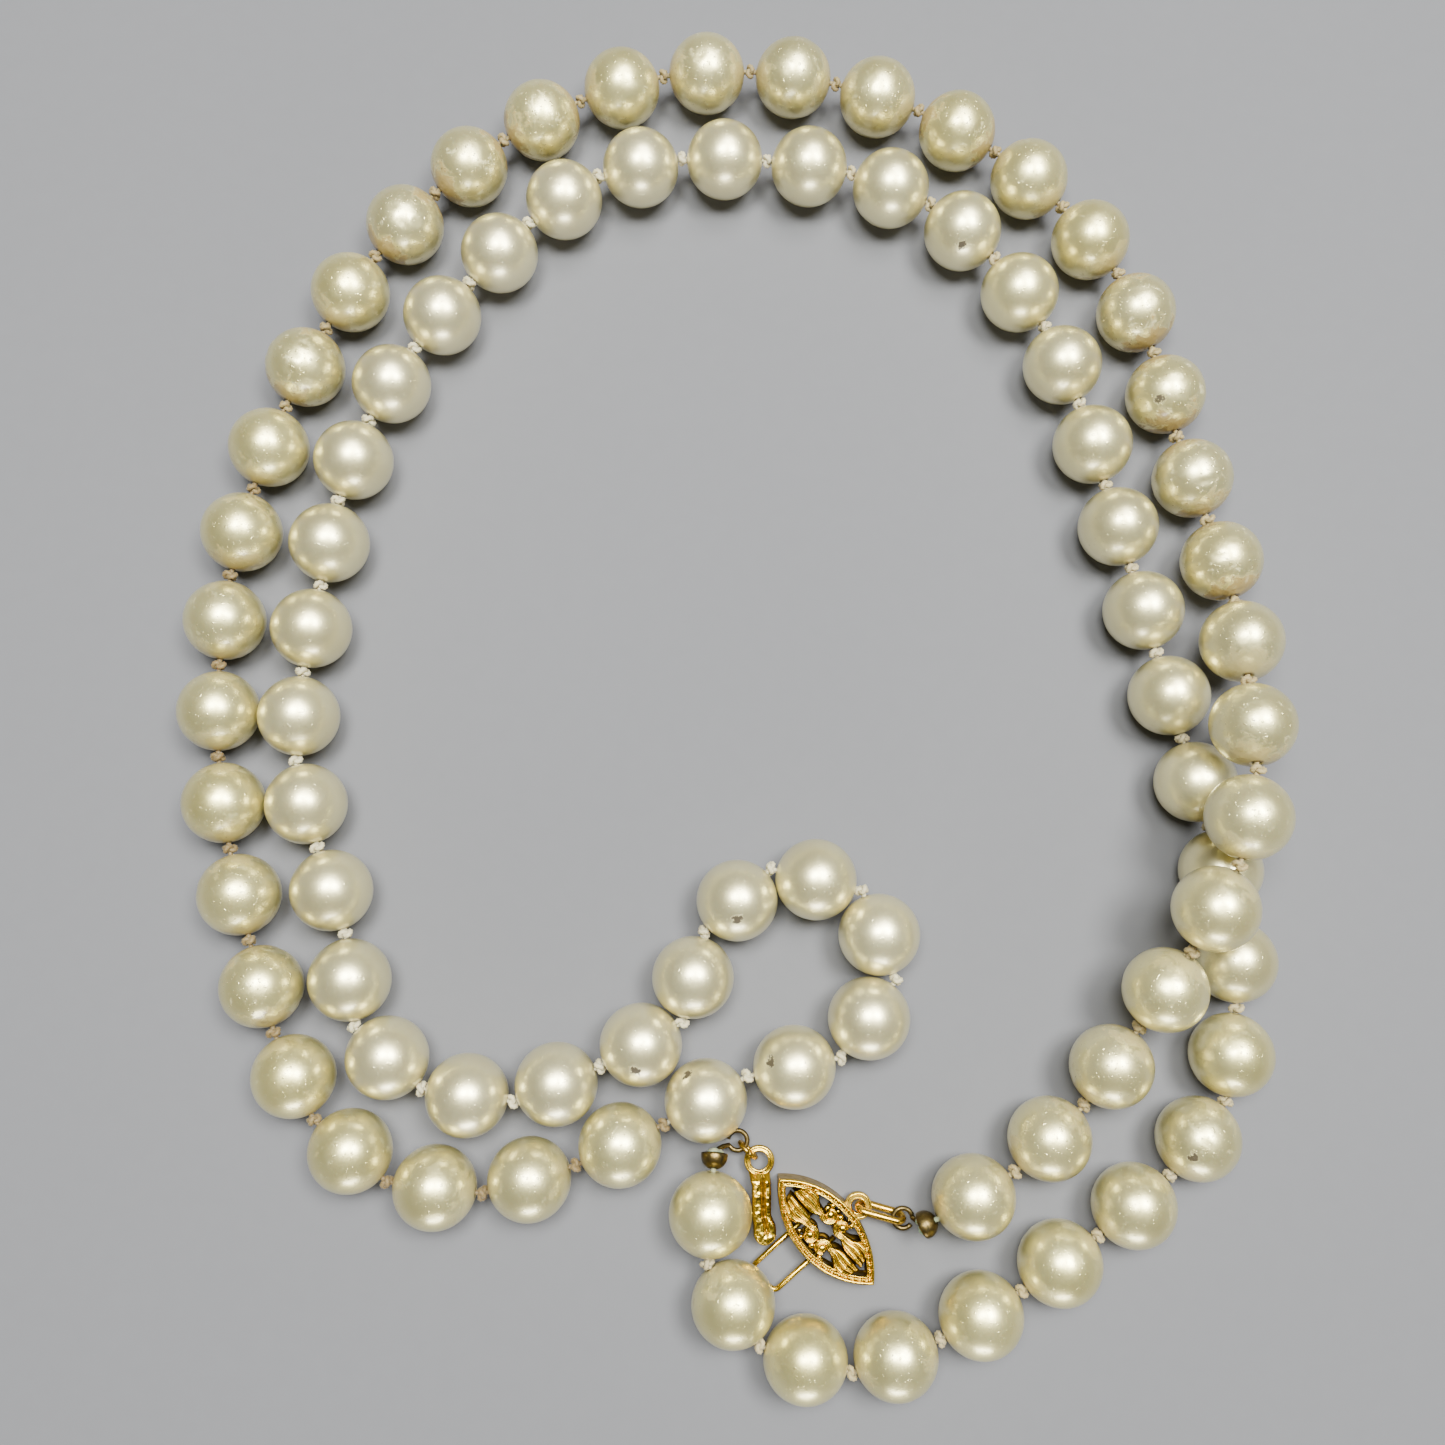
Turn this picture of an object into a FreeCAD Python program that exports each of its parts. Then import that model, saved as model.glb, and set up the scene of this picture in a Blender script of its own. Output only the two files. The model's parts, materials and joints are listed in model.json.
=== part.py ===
import FreeCAD, Part
import math
import os

# A knotted single-strand pearl necklace laid flat in a doubled loop, clasp open.
# Millimetres. +Z is up, the strand rests on z = 0, and x = y = 0 is the middle of the laid shape.

Vector = FreeCAD.Vector
Rotation = FreeCAD.Rotation
Placement = FreeCAD.Placement
UP = Vector(0, 0, 1)
FLAT = Rotation()

SIZES = [
    ("pearl_diameter", 8.0),
    ("bore_diameter", 0.9),
    ("silk_diameter", 0.6),
    ("outer_gap", 1.25),        # space between two pearls, taken up by a knot, in the outer run
    ("inner_gap", 0.97),        # the same in the inner run
    ("knot_clearance", 0.08),   # between a knot and each of its pearls
    ("silk_clearance", 0.1),    # between a pearl's silk and the knot before it
    ("cup_diameter", 2.6),      # bead tips: the cup that hides the last knot
    ("cup_wall", 0.3),
    ("cup_hole", 0.8),
    ("cup_clearance", 0.15),    # between a cup and the last pearl
    ("silk_stub", 0.1),         # how far the end knot's silk stops short of the cup's outside
    ("end_knot", 1.4),
    ("tip_wire", 0.5),
    ("tip_loop", 1.9),          # across the middle of the wire
    ("link_wire", 0.7),
    ("link_height", 1.5),       # across the middle of the wire
    ("link_length", 4.5),       # the same, end to end
    ("jump_wire", 0.44),
    ("jump_ring", 2.1),         # across the middle of the wire
    ("eye_outer", 3.0),
    ("eye_hole", 1.7),
    ("eye_thick", 0.5),
    ("neck_length", 0.4),
    ("tongue_sheet", 0.35),
    ("tongue_width", 1.85),
    ("tongue_length", 4.8),
    ("tongue_gap", 0.5),
    ("tongue_end", 2.2),        # across the round end where the tongue folds back
    ("case_length", 13.4),
    ("case_width", 6.3),
    ("rim_wall", 0.6),
    ("rim_height", 1.9),
    ("plate_thick", 0.45),
    ("lug_outer", 2.6),
    ("lug_hole", 1.45),
    ("lug_thick", 0.5),
    ("catch_wire", 0.5),
    ("catch_span", 3.2),
    ("catch_reach", 7.8),
]

OUTER_PEARLS = 41
PEARLS = 81
PEARLS_PER_GROUP = 8
# Pearls that move together, counted from the case end: the laid loop between the two ends is the root.
CASE_END_RUNS = [(1, 2), (3, 4), (5, 8), (9, 12), (13, 16), (17, 20), (21, 24)]
ROOT_RUN = (25, 72)
HOOK_END_RUNS = [(73, 74), (75, 76), (77, 78), (79, 79), (80, 80), (81, 81)]

# The strand's line from the case end to the hook end, along the middle of the bores. It climbs over
# itself once, on the right, where the first run crosses the last.
ROUTE = [
    (20.0, -48.0, 4.0), (28.0, -43.5, 4.0), (35.0, -37.0, 4.2), (40.0, -29.5, 6.0),
    (44.0, -22.0, 10.0), (47.5, -14.5, 12.9), (49.7, -6.5, 12.4), (50.6, 2.5, 9.6),
    (51.2, 11.0, 6.0), (49.8, 19.5, 4.0), (47.0, 28.5, 4.0), (42.0, 46.0, 4.0),
    (29.6, 60.2, 4.0), (13.0, 68.2, 4.0), (-5.5, 69.5, 4.0), (-22.5, 62.5, 4.0),
    (-36.0, 49.5, 4.0), (-45.0, 33.0, 4.0), (-49.8, 15.5, 4.0), (-50.3, -3.0, 4.0),
    (-46.5, -21.0, 4.0), (-40.0, -37.8, 4.0), (-32.5, -44.2, 4.0), (-23.0, -45.4, 4.0),
    (-14.0, -42.8, 4.0), (-5.2, -38.8, 4.0), (2.7, -34.4, 4.0), (11.2, -32.9, 4.0),
    (17.0, -25.2, 4.0), (13.7, -16.6, 4.0),
    (4.5, -14.6, 4.0), (-2.0, -21.0, 4.0), (-4.0, -29.5, 4.0), (-12.0, -33.6, 4.0),
    (-20.5, -36.9, 4.0), (-29.5, -35.5, 4.0), (-36.0, -29.5, 4.0), (-37.0, -20.5, 4.0),
    (-42.5, -4.5, 4.0), (-41.0, 12.5, 4.0), (-36.8, 30.5, 4.0), (-26.5, 46.0, 4.0),
    (-13.0, 58.0, 4.0), (4.5, 59.8, 4.0), (21.8, 55.0, 4.0), (33.7, 41.0, 4.0),
    (39.4, 23.5, 4.0), (44.0, 5.5, 4.0), (48.6, -12.2, 4.0), (50.3, -21.0, 4.0),
    (49.8, -30.0, 4.0), (47.8, -38.5, 4.0), (34.5, -50.2, 4.0), (20.0, -59.0, 4.0),
    (11.0, -61.8, 4.0), (2.5, -58.5, 4.0), (-1.8, -50.5, 4.0), (-0.8, -42.6, 4.0),
]
ROUTE_STEPS = 40          # straight pieces between two points of the route

# The clasp's parts lie where these places and directions put them, before the strand is centred.
CASE_MIDDLE = (10.0, -49.3)
CASE_TURN = -47.3         # degrees, the case's long axis seen from above
CATCH_OFFSET = -0.5       # the catch sits this far along the case from its middle
CATCH_DROP = 7.0          # degrees that the catch slopes down to the table
EYE_MIDDLE = (3.6, -42.9)
EYE_TO_TIP = (-0.744, 0.668)
CUP_DIP = 0.35            # slope of the cups down from the last pearls
CUP_MOUTH = 0.15          # the cup's open mouth and the arm's root, ahead of its middle,
ARM_ROOT = 0.08           # as shares of its diameter
ARM_DROP = 0.15           # the arm's root lies this far inside the cup's underside
LUG_OFFSET = (0.6, 3.83)  # the lug's middle along and across the case
LUG_TO_TIP = (0.964, -0.266)
CATCH_SINK = 0.1          # the catch leaves the case this far below the wall's middle
CATCH_INSIDE = 3.3        # how far its legs reach into the case
EYE_PLAY = 0.45           # from the eye's middle to the wire of the jump ring in it
LOOP_PLAY = 0.3           # the same in the bead tip's loop
LINK_TILT = 22.0          # degrees that the link leans over from standing on edge
TONGUE_SHIFT = 0.2        # the tongue hangs this far to one side of the eye's middle
END_SHIFT = 0.3           # its round end lies this far to one side of the tongue
LEAF_DROP = 0.1           # its lower leaf lies this far under the eye
NECK_SHARE = 0.6          # the neck's width, as a share of the tongue's
CORNER_SHARE = 0.52       # radius of a ball that closes a corner, as a share of the wire's diameter
ELBOW_SHARE = 0.6         # the same where the arm leaves the cup
SLOT_SHARE = 2.4          # height of the catch's slot in the case's wall, in wire diameters
SLOT_DROP = 1.4           # the slot's foot under the wall's middle, in the same measure


def make_sheet(doc):
    sheet = doc.addObject("Spreadsheet::Sheet", "Sizes")
    for row, (alias, value) in enumerate(SIZES, start=1):
        sheet.set(f"A{row}", alias)
        sheet.set(f"B{row}", str(value))
        sheet.setAlias(f"B{row}", alias)
    doc.recompute()
    return sheet


def make(doc, kind, name, place=None, **expressions):
    """One primitive, its sizes bound to the sheet."""
    piece = doc.addObject(kind, name)
    for key, expression in expressions.items():
        piece.setExpression(key, expression)
    if place is not None:
        piece.Placement = place
    return piece


def cut(doc, name, base, tool):
    piece = doc.addObject("Part::Cut", name)
    piece.Base = base
    piece.Tool = tool
    return piece


def fuse(doc, name, pieces):
    piece = doc.addObject("Part::MultiFuse", name)
    piece.Shapes = pieces
    return piece


def finish(piece, label, place=None):
    """A sub-part: its label names its file."""
    piece.Label = label
    piece.addProperty("App::PropertyBool", "IsSubPart")
    piece.IsSubPart = True
    if place is not None:
        piece.Placement = place
    return piece


def smooth_line(points, steps):
    """Centripetal Catmull-Rom curve through the points, as short straight pieces."""
    first = tuple(2 * a - b for a, b in zip(points[0], points[1]))
    last = tuple(2 * a - b for a, b in zip(points[-1], points[-2]))
    run = [first, *points, last]
    line = []
    for four in zip(run, run[1:], run[2:], run[3:]):
        d1, d2, d3 = (math.dist(a, b) ** 0.5 for a, b in zip(four, four[1:]))
        for step in range(steps):
            line.append(tuple(curve_value(*axis, d1, d2, d3, step / steps) for axis in zip(*four)))
    return line + [tuple(points[-1])]


def curve_value(a, b, c, d, d1, d2, d3, u):
    """One coordinate of the curve from b to c, with a before and d after."""
    leave = (c - b) + d2 * ((b - a) / d1 - (c - a) / (d1 + d2))
    arrive = (c - b) + d2 * ((d - c) / d3 - (d - b) / (d2 + d3))
    cubic = 2 * b - 2 * c + leave + arrive
    square = 3 * (c - b) - 2 * leave - arrive
    return cubic * u**3 + square * u**2 + leave * u + b


def walk(line, chords):
    """The knots: points along the line, each one chord from the last."""
    knots = [line[0]]
    here = 0
    for chord in chords:
        start = knots[-1]
        while here < len(line) - 2 and math.dist(start, line[here + 1]) < chord:
            here += 1
        knots.append(on_segment(start, line[here], line[here + 1], chord))
    return knots


def on_segment(start, a, b, chord):
    """The point on the line from a through b that lies one chord from the start."""
    along = [q - p for p, q in zip(a, b)]
    away = [p - s for p, s in zip(a, start)]
    square = sum(x * x for x in along)
    middle = sum(x * y for x, y in zip(along, away))
    rest = sum(x * x for x in away) - chord * chord
    t = (-middle + math.sqrt(middle * middle - square * rest)) / square
    return tuple(p + t * x for p, x in zip(a, along))


def lay_strand(sheet):
    """The knots' places, with the laid shape centred over the origin and resting on the table."""
    outer = sheet.pearl_diameter + sheet.outer_gap
    inner = sheet.pearl_diameter + sheet.inner_gap
    chords = [outer] * OUTER_PEARLS + [inner] * (PEARLS - OUTER_PEARLS)
    knots = walk(smooth_line(ROUTE, ROUTE_STEPS), chords)
    floor = sheet.pearl_diameter / 2
    knots = [Vector(x, y, max(z, floor)) for x, y, z in knots]
    middles = [(a + b) * 0.5 for a, b in zip(knots, knots[1:])]
    shift = Vector(
        -(min(m.x for m in middles) + max(m.x for m in middles)) / 2,
        -(min(m.y for m in middles) + max(m.y for m in middles)) / 2,
        0,
    )
    return [knot + shift for knot in knots], shift


def unit(vector):
    return Vector(vector).normalize()


def facing(direction):
    """The rotation that turns +Z to a direction."""
    return Rotation(UP, direction)


def make_pearl(doc, number, start, end):
    """A drilled pearl between two knots, its bore along the straight line between them."""
    middle = (start + end) * 0.5
    along = unit(end - start)
    ball = make(doc, "Part::Sphere", f"Ball{number}", Radius="Sizes.pearl_diameter / 2")
    drill = make(doc, "Part::Cylinder", f"Drill{number}",
                 Radius="Sizes.bore_diameter / 2", Height="Sizes.pearl_diameter * 2")
    drill.Placement.Base = UP * -doc.Sizes.pearl_diameter
    pearl = cut(doc, f"Pearl{number}", ball, drill)
    pearl.Placement = Placement(middle, facing(along))
    return pearl


def make_pearls(doc, first, last, knots):
    group = doc.addObject("Part::Compound", f"Pearls{first}")
    group.Links = [make_pearl(doc, n, knots[n - 1], knots[n]) for n in range(first, last + 1)]
    return finish(group, "pearls_" + span_name(first, last))


def knot_radius(sheet, number):
    """Half a knot, which fills the gap that it sits in."""
    gap = sheet.outer_gap if number <= OUTER_PEARLS else sheet.inner_gap
    return gap / 2 - sheet.knot_clearance


def make_thread(doc, number, knots):
    """The silk through one pearl, ending in the knot after it. The last one has no knot of its own."""
    sheet = doc.Sizes
    along = unit(knots[number] - knots[number - 1])
    clear = sheet.silk_clearance
    start = knots[number - 1] + along * (knot_radius(sheet, number - 1) + clear)
    knot = knots[number]
    if number == PEARLS:
        end = knot - along * (knot_radius(sheet, number) + clear)
        return rod_between(doc, f"Thread{number}", start, end, "Sizes.silk_diameter / 2")
    thread = rod_between(doc, f"Thread{number}", start, knot, "Sizes.silk_diameter / 2")
    gap = "outer_gap" if number <= OUTER_PEARLS else "inner_gap"
    ball = make(doc, "Part::Sphere", f"Knot{number}", Placement(knot, facing(along)),
                Radius=f"Sizes.{gap} / 2 - Sizes.knot_clearance")
    return fuse(doc, f"Silk{number}", [thread, ball])


def make_silk(doc, first, last, knots):
    """The stringing silk through a run of pearls, with the knot after each of them."""
    group = doc.addObject("Part::Compound", f"SilkRun{first}")
    group.Links = [make_thread(doc, n, knots) for n in range(first, last + 1)]
    return finish(group, "silk_" + span_name(first, last))


def span_name(first, last):
    return f"{first:02d}" if first == last else f"{first:02d}_{last:02d}"


def make_strand(doc, knots):
    for first, last in CASE_END_RUNS + HOOK_END_RUNS:
        make_pearls(doc, first, last, knots)
        make_silk(doc, first, last, knots)
    for first in range(ROOT_RUN[0], ROOT_RUN[1], PEARLS_PER_GROUP):
        make_pearls(doc, first, first + PEARLS_PER_GROUP - 1, knots)
        make_silk(doc, first, first + PEARLS_PER_GROUP - 1, knots)


def rod_between(doc, name, start, end, radius):
    """A round wire from one place to another."""
    rod = make(doc, "Part::Cylinder", name, Placement(start, facing(unit(end - start))), Radius=radius)
    rod.Height = (end - start).Length
    return rod


def make_bead_tip(doc, side, knot, outward, loop):
    """A bead tip: a cup over the last knot, an arm from its rim, and a loop lying flat."""
    sheet = doc.Sizes
    gap = sheet.outer_gap if side == "a" else sheet.inner_gap
    cup_middle = knot + outward * (sheet.cup_diameter / 2 - gap / 2 + sheet.cup_clearance)
    ball = make(doc, "Part::Sphere", f"CupOutside{side}", Radius="Sizes.cup_diameter / 2")
    hollow = make(doc, "Part::Sphere", f"CupInside{side}",
                  Radius="Sizes.cup_diameter / 2 - Sizes.cup_wall")
    hole = make(doc, "Part::Cylinder", f"CupHole{side}", Placement(Vector(0, 0, -sheet.cup_diameter), FLAT),
                Radius="Sizes.cup_hole / 2", Height="Sizes.cup_diameter")
    mouth = make(doc, "Part::Box", f"CupMouth{side}",
                 Length="Sizes.cup_diameter * 2", Width="Sizes.cup_diameter * 2",
                 Height="Sizes.cup_diameter")
    mouth.Placement.Base = Vector(-sheet.cup_diameter, -sheet.cup_diameter,
                                  sheet.cup_diameter * CUP_MOUTH)
    cup = cut(doc, f"Cup{side}", ball, fuse(doc, f"CupTools{side}", [hollow, hole, mouth]))
    cup.Placement = Placement(cup_middle, facing(outward))
    underside = UP * (sheet.cup_diameter / 2 - ARM_DROP)
    root = cup_middle + outward * (sheet.cup_diameter * ARM_ROOT) - underside
    near = loop + unit(Vector(root.x - loop.x, root.y - loop.y, 0)) * (sheet.tip_loop / 2)
    arm = rod_between(doc, f"Arm{side}", root, near, "Sizes.tip_wire / 2")
    ring = make(doc, "Part::Torus", f"TipLoop{side}", Placement(loop, FLAT),
                Radius1="Sizes.tip_loop / 2", Radius2="Sizes.tip_wire / 2")
    elbow = make(doc, "Part::Sphere", f"Elbow{side}", Placement(root, FLAT),
                 Radius=f"Sizes.tip_wire * {ELBOW_SHARE}")
    tip = fuse(doc, f"BeadTip{side}", [cup, arm, ring, elbow])
    finish(tip, f"bead_tip_{side}")
    make_end_knot(doc, side, cup_middle, outward)


def make_end_knot(doc, side, middle, outward):
    """The last knot, inside the cup, with the silk that leaves through the cup's hole."""
    sheet = doc.Sizes
    ball = make(doc, "Part::Sphere", f"EndKnot{side}", Placement(middle, FLAT), Radius="Sizes.end_knot / 2")
    tail_end = middle - outward * (sheet.cup_diameter / 2 - sheet.silk_stub)
    tail = rod_between(doc, f"EndSilk{side}", middle, tail_end, "Sizes.silk_diameter / 2")
    finish(fuse(doc, f"EndKnotWhole{side}", [ball, tail]), f"end_knot_{side}")


def make_link(doc, lug, loop):
    """The long oval link through the case's lug and the bead tip's loop, leaning over to one side."""
    sheet = doc.Sizes
    along = unit(loop - lug)
    lean = Rotation(along, LINK_TILT)
    lift = lean.multVec(UP)
    half = sheet.link_height / 2
    bar_length = (loop - lug).Length - 2 * half
    pieces = []
    for end, (middle, side) in enumerate(((lug + along * half, -1), (loop - along * half, 1))):
        bend = make(doc, "Part::Torus", f"LinkBend{end}",
                    Radius1="Sizes.link_height / 2", Radius2="Sizes.link_wire / 2")
        bend.Angle3 = 180
        bend.Placement = Placement(middle, lean * standing(along * side))
        pieces.append(bend)
    for level in (-half, half):
        start = lug + along * half + lift * level
        bar = rod_between(doc, f"LinkBar{'Low' if level < 0 else 'High'}", start,
                          start + along * bar_length, "Sizes.link_wire / 2")
        pieces.append(bar)
    finish(fuse(doc, "OvalLink", pieces), "oval_link")


def standing(direction):
    """Stands a half ring on edge, with its bulge along a direction."""
    return Rotation(UP, direction, UP.cross(direction), "XYZ")


def make_jump_ring(doc, middle, direction):
    ring = make(doc, "Part::Torus", "JumpRing", Placement(middle, standing(direction)),
                Radius1="Sizes.jump_ring / 2", Radius2="Sizes.jump_wire / 2")
    finish(ring, "jump_ring")


def flat_ring(doc, name, outer, hole, thick, place):
    """A washer lying flat, its middle at the place."""
    disc = make(doc, "Part::Cylinder", f"{name}Disc", Radius=f"Sizes.{outer} / 2", Height=f"Sizes.{thick}")
    bore = make(doc, "Part::Cylinder", f"{name}Bore", Radius=f"Sizes.{hole} / 2",
                Height=f"Sizes.{thick} * 3")
    bore.Placement.Base = UP * -getattr(doc.Sizes, thick)
    ring = cut(doc, name, disc, bore)
    ring.Placement = Placement(place - UP * (getattr(doc.Sizes, thick) / 2), FLAT)
    return ring


def make_hook(doc, eye):
    """The hook half: an eye, a neck, and a tongue of sheet folded back over itself at a round end."""
    sheet = doc.Sizes
    width = sheet.tongue_width
    ring = flat_ring(doc, "Eye", "eye_outer", "eye_hole", "eye_thick", eye)
    start = eye + Vector(TONGUE_SHIFT - width / 2, -sheet.eye_outer / 2 - sheet.neck_length, 0)
    aside = Vector(width * (1 - NECK_SHARE) / 2, 0, -sheet.eye_thick / 2)
    neck = make(doc, "Part::Box", "Neck", Placement(start + aside, FLAT),
                Length=f"Sizes.tongue_width * {NECK_SHARE}", Height="Sizes.eye_thick",
                Width="Sizes.neck_length + (Sizes.eye_outer - Sizes.eye_hole) / 4")
    pieces = [ring, neck]
    low = -sheet.eye_thick / 2 - LEAF_DROP
    for name, level in (("LowerLeaf", low), ("UpperLeaf", low + sheet.tongue_sheet + sheet.tongue_gap)):
        leaf = make(doc, "Part::Box", name, Length="Sizes.tongue_width", Width="Sizes.tongue_length",
                    Height="Sizes.tongue_sheet")
        leaf.Placement.Base = start + Vector(0, -sheet.tongue_length, level)
        pieces.append(leaf)
    fold = make(doc, "Part::Cylinder", "Fold", Radius="Sizes.tongue_end / 2",
                Height="Sizes.tongue_sheet * 2 + Sizes.tongue_gap")
    fold.Placement.Base = start + Vector(width / 2 + END_SHIFT, -sheet.tongue_length, low)
    pieces.append(fold)
    finish(fuse(doc, "Hook", pieces), "hook")


LENS_RADIUS = "(Sizes.case_length^2 + Sizes.case_width^2) / (4 * Sizes.case_width)"


def make_lens(doc, name, inset, height):
    """A pointed oval: what two equal discs share."""
    sheet = doc.Sizes
    radius = (sheet.case_length**2 + sheet.case_width**2) / (4 * sheet.case_width)
    discs = []
    for side in (-1, 1):
        disc = make(doc, "Part::Cylinder", f"{name}Disc{'Left' if side < 0 else 'Right'}",
                    Radius=f"{LENS_RADIUS} - {inset}", Height=height)
        disc.Placement.Base = Vector(0, side * (radius - sheet.case_width / 2), 0)
        discs.append(disc)
    lens = doc.addObject("Part::MultiCommon", name)
    lens.Shapes = discs
    return lens


def case_place(doc, case, level):
    """A placement in the case's frame, at a height above its rim's foot."""
    foot = case + UP * (doc.Sizes.plate_thick + level)
    return Placement(foot, Rotation(UP, CASE_TURN))


def make_case_rim(doc, case):
    """The case's wall, open on one long side for the catch, with the lug on the other."""
    sheet = doc.Sizes
    outside = make_lens(doc, "RimOutside", "0", "Sizes.rim_height")
    inside = make_lens(doc, "RimInside", "Sizes.rim_wall", "Sizes.rim_height * 3")
    inside.Placement.Base = UP * -sheet.rim_height
    slot = make(doc, "Part::Box", "RimSlot", Length="Sizes.catch_span + 4 * Sizes.catch_wire",
                Width="Sizes.case_width / 2", Height=f"Sizes.catch_wire * {SLOT_SHARE}")
    slot.Placement.Base = Vector(
        CATCH_OFFSET - sheet.catch_span / 2 - 2 * sheet.catch_wire,
        -sheet.case_width / 2 - sheet.case_width / 4,
        sheet.rim_height / 2 - sheet.catch_wire * SLOT_DROP,
    )
    lug = flat_ring(doc, "Lug", "lug_outer", "lug_hole", "lug_thick",
                    Vector(LUG_OFFSET[0], LUG_OFFSET[1], sheet.rim_height / 2))
    wall = cut(doc, "RimWall", outside, fuse(doc, "RimTools", [inside, slot]))
    finish(fuse(doc, "CaseRim", [wall, lug]), "case_rim", case_place(doc, case, 0))


def make_filigree(doc, case, label, level):
    """One pierced face of the case: a hole at each tip, one in the middle and four beside it."""
    sheet = doc.Sizes
    name = label.title().replace("_", "")
    plate = make_lens(doc, name + "Plate", "0", "Sizes.plate_thick")
    holes = []
    for number, (along, across, size) in enumerate(pierced_holes(sheet)):
        hole = make(doc, "Part::Box", f"{name}Hole{number}", Length=str(size), Width=str(size),
                    Height="Sizes.plate_thick * 3")
        corner = Rotation(UP, 45).multVec(Vector(-size / 2, -size / 2, 0))
        hole.Placement = Placement(Vector(along, across, -sheet.plate_thick) + corner, Rotation(UP, 45))
        holes.append(hole)
    pierced = cut(doc, name, plate, fuse(doc, name + "Holes", holes))
    finish(pierced, label, case_place(doc, case, level))


# The pierced holes: each one's place along and across the case and its side, as shares of the
# case's length, width and width.
MIDDLE_HOLE = (0, 0, 0.2)
TIP_HOLE = (0.35, 0, 0.14)
SIDE_HOLE = (0.17, 0.25, 0.11)


def pierced_holes(sheet):
    """Every hole's place along and across the case, and its side."""
    shares = [MIDDLE_HOLE]
    for side in (-1, 1):
        shares.append((side * TIP_HOLE[0], TIP_HOLE[1], TIP_HOLE[2]))
        for across in (-SIDE_HOLE[1], SIDE_HOLE[1]):
            shares.append((side * SIDE_HOLE[0], across, SIDE_HOLE[2]))
    length, width = sheet.case_length, sheet.case_width
    return [(along * length, across * width, size * width) for along, across, size in shares]


def make_catch(doc, case):
    """The wire catch: a square-ended U whose legs slide in the case's open side."""
    sheet = doc.Sizes
    slope = Rotation(Vector(1, 0, 0), CATCH_DROP)
    half = sheet.catch_span / 2
    mouth = Vector(CATCH_OFFSET, -sheet.case_width / 2, sheet.rim_height / 2 - CATCH_SINK)
    out = sheet.catch_reach - sheet.case_width / 2
    wire = "Sizes.catch_wire / 2"
    pieces = []
    corners = []
    for name, side in (("Left", -half), ("Right", half)):
        inner = mouth + slope.multVec(Vector(side, CATCH_INSIDE, 0))
        corner = mouth + slope.multVec(Vector(side, -out, 0))
        pieces.append(rod_between(doc, f"CatchLeg{name}", inner, corner, wire))
        pieces.append(make(doc, "Part::Sphere", f"CatchCorner{name}", Placement(corner, FLAT),
                           Radius=f"Sizes.catch_wire * {CORNER_SHARE}"))
        corners.append(corner)
    pieces.append(rod_between(doc, "CatchBar", corners[0], corners[1], wire))
    finish(fuse(doc, "Catch", pieces), "catch_wire", case_place(doc, case, 0))


def hanging(direction):
    """A direction along the strand, dipped towards the table."""
    return unit(unit(direction) - UP * CUP_DIP)


def make_clasp(doc, knots, shift):
    sheet = doc.Sizes
    case = Vector(*CASE_MIDDLE, 0) + shift
    level = UP * (sheet.plate_thick + sheet.rim_height / 2)
    turn = Rotation(UP, CASE_TURN)
    lug = case + turn.multVec(Vector(*LUG_OFFSET, 0)) + level
    link_end = lug + unit(Vector(*LUG_TO_TIP, 0)) * sheet.link_length
    make_case_rim(doc, case)
    make_filigree(doc, case, "filigree_back", -sheet.plate_thick)
    make_filigree(doc, case, "filigree_front", sheet.rim_height)
    make_catch(doc, case)
    make_link(doc, lug, link_end)
    make_bead_tip(doc, "a", knots[0], hanging(knots[0] - knots[1]), link_end)
    eye = Vector(*EYE_MIDDLE, 0) + shift + level
    toward = unit(Vector(*EYE_TO_TIP, 0))
    ring_middle = eye + toward * (EYE_PLAY + sheet.jump_ring / 2)
    tip_loop = eye + toward * (EYE_PLAY + sheet.jump_ring + LOOP_PLAY)
    make_hook(doc, eye)
    make_jump_ring(doc, ring_middle, toward)
    make_bead_tip(doc, "b", knots[-1], hanging(knots[-1] - knots[-2]), tip_loop)


def check_and_write(doc):
    failed = [item.Name for item in doc.Objects if {"Invalid", "Error"} & set(item.State)]
    if failed:
        raise SystemExit(f"failed to compute: {failed}")
    pieces = [item for item in doc.Objects if hasattr(item, "IsSubPart")]
    for piece in pieces:
        if piece.Shape.isNull() or not piece.Shape.isValid():
            raise SystemExit(f"{piece.Label} has no valid shape")
    os.makedirs("parts", exist_ok=True)
    for piece in pieces:
        piece.Shape.exportStep(os.path.join("parts", piece.Label + ".step"))
    whole = Part.makeCompound([piece.Shape for piece in pieces]).BoundBox
    print(len(pieces), "sub-parts", f"{whole.XLength:.2f} x {whole.YLength:.2f} x {whole.ZLength:.2f} mm",
          f"lowest {whole.ZMin:.3f}")


def main():
    doc = FreeCAD.newDocument("Necklace")
    sheet = make_sheet(doc)
    knots, shift = lay_strand(sheet)
    make_strand(doc, knots)
    make_clasp(doc, knots, shift)
    doc.recompute()
    check_and_write(doc)


main()
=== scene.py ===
import json
import math
import random

import bmesh
import bpy
from mathutils import Matrix, Vector, noise


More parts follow.
